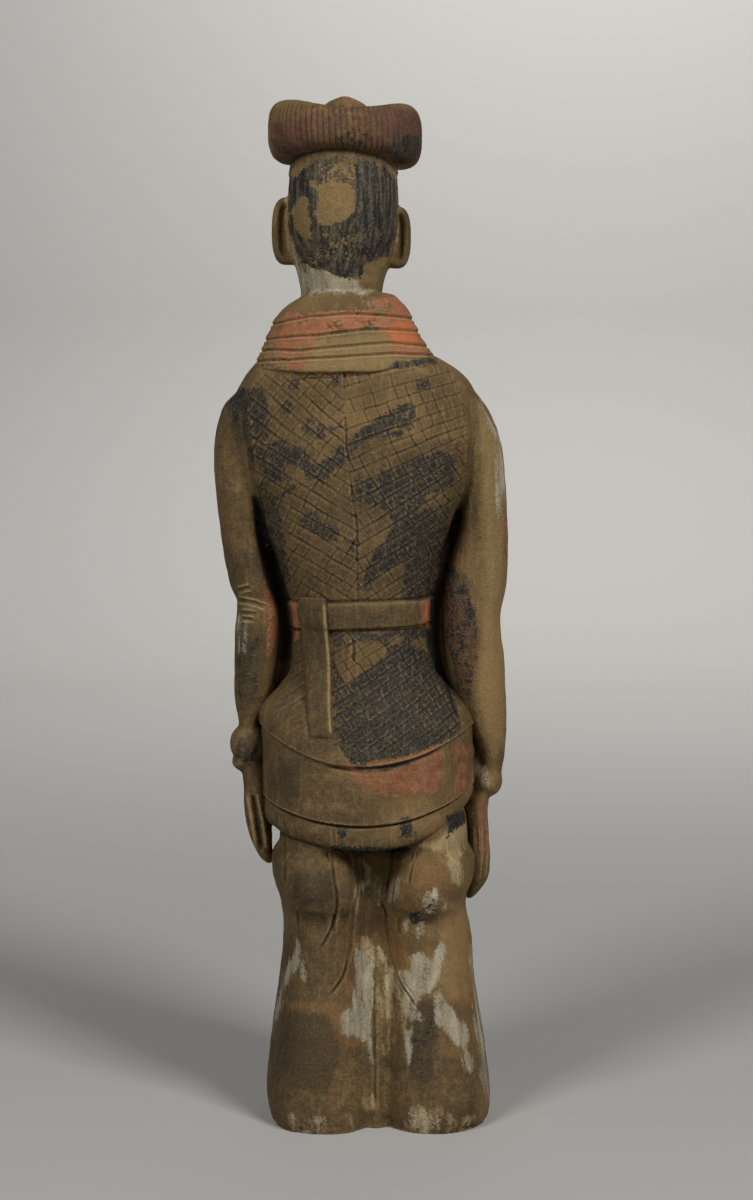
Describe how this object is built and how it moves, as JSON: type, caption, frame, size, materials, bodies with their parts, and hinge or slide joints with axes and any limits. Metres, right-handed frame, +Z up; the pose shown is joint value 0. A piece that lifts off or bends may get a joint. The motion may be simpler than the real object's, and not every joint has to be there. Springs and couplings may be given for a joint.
{
  "type": "standing tomb figure",
  "caption": "Painted earthenware tomb figure of a standing soldier in scale armour, belt, wound scarf, wide trousers and a ribbed rolled hat, arms at the sides.",
  "frame": {"origin": "middle of the flat underside, between the trouser legs", "axes": "+Z up, -Y the way the figure faces, +X the figure's left hand"},
  "size_m": [0.1385, 0.0976, 0.48],
  "materials": {
    "painted_earthenware": "matt fired clay with worn black, orange, red and white pigment and earth in the hollows"
  },
  "bodies": {
    "root": {"figure": "painted_earthenware"}
  },
  "joints": []
}
